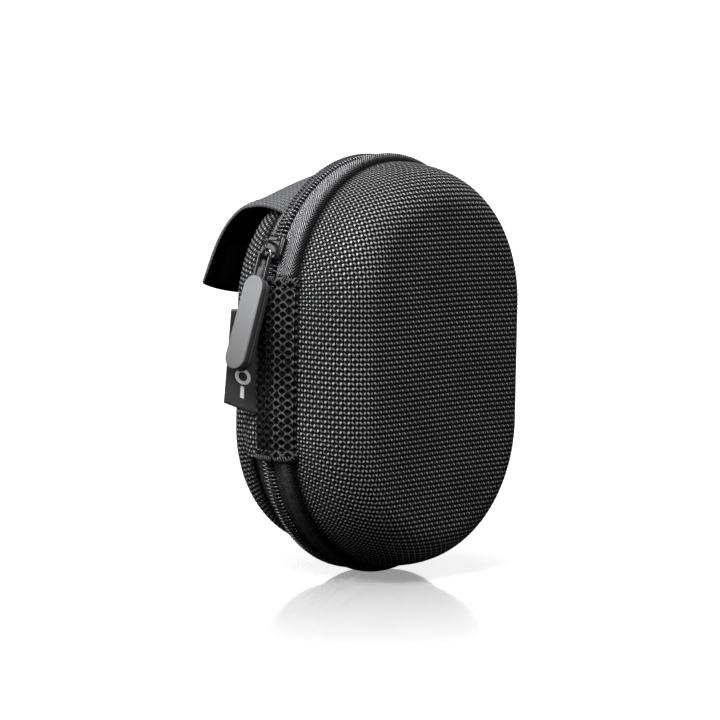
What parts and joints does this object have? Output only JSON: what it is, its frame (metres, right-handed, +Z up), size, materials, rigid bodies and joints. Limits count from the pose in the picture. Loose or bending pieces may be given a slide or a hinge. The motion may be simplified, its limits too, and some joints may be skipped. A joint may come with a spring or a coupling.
{
  "type": "zip-up earphone carrying case",
  "caption": "Small zip-up moulded case with rounded ends, a woven cover, a side hinge, a swinging zip puller, and a wide belt flap behind.",
  "frame": {"origin": "under the middle of the whole case's box, on the surface that it stands on", "axes": "+Z up the tall side of the case, -Y out of the lid's front face, +X towards the side away from the hinge"},
  "size_m": [0.0926, 0.071, 0.1166],
  "materials": {
    "woven_nylon": "coarse plain weave, near black, soft sheen on the yarns",
    "eva_foam": "closed cell foam",
    "lining": "brushed knit, near black",
    "zip_tape": "herringbone twill",
    "zip_coil": "smooth nylon coil",
    "binding": "folded woven tape",
    "hinge_webbing": "heavy ribbed weave",
    "black_metal": "gloss black enamel on cast zinc",
    "tab_rubber": "matte moulded",
    "label_ribbon": "fine satin ribbon",
    "net": "open knitted net",
    "flap_nylon": "fine woven nylon with turned edges",
    "hook_and_loop": "hook and loop pile"
  },
  "bodies": {
    "back_half": {"back_cover": "woven_nylon", "back_foam_shell": "eva_foam", "back_lining": "lining", "back_zip_tape": "zip_tape", "back_zip_coil": "zip_coil", "back_seam_binding": "binding", "hinge_strip": "hinge_webbing", "hinge_lining": "lining", "side_label": "label_ribbon", "loop_patch": "hook_and_loop", "belt_flap_root": "flap_nylon"},
    "lid": {"front_cover": "woven_nylon", "front_foam_shell": "eva_foam", "front_lining": "lining", "front_zip_tape": "zip_tape", "front_zip_tape_end": "zip_tape", "front_zip_coil": "zip_coil", "front_zip_coil_end": "zip_coil", "front_seam_binding": "binding", "pocket_net": "net", "pocket_elastic": "binding"},
    "slider": {"zip_slider": "black_metal"},
    "puller": {"puller_wire": "black_metal", "pull_tab": "tab_rubber"},
    "flap": {"belt_flap": "flap_nylon", "hook_patch": "hook_and_loop"}
  },
  "joints": [
    {"name": "lid_hinge", "type": "hinge", "parent": "back_half", "child": "lid", "pos_m": [-0.03822, -0.00615, 0.05829], "axis": [0, 0, -1], "range_deg": [0, 120], "deforming": ["hinge_strip", "hinge_lining", "front_zip_tape_end", "front_zip_coil_end"]},
    {"name": "zip_slider_travel", "type": "hinge", "parent": "back_half", "child": "slider", "pos_m": [0.00438, -0.00565, 0.07479], "axis": [0, 1, 0], "range_deg": [0, 132]},
    {"name": "puller_swing", "type": "hinge", "parent": "slider", "child": "puller", "pos_m": [-0.03683, -0.00565, 0.0911], "axis": [0, 1, 0], "range_deg": [0, 150]},
    {"name": "belt_flap_lift", "type": "hinge", "parent": "back_half", "child": "flap", "pos_m": [0.00438, 0.01775, 0.10279], "axis": [1, 0, 0], "range_deg": [-30, 80], "deforming": ["belt_flap_root"]}
  ]
}
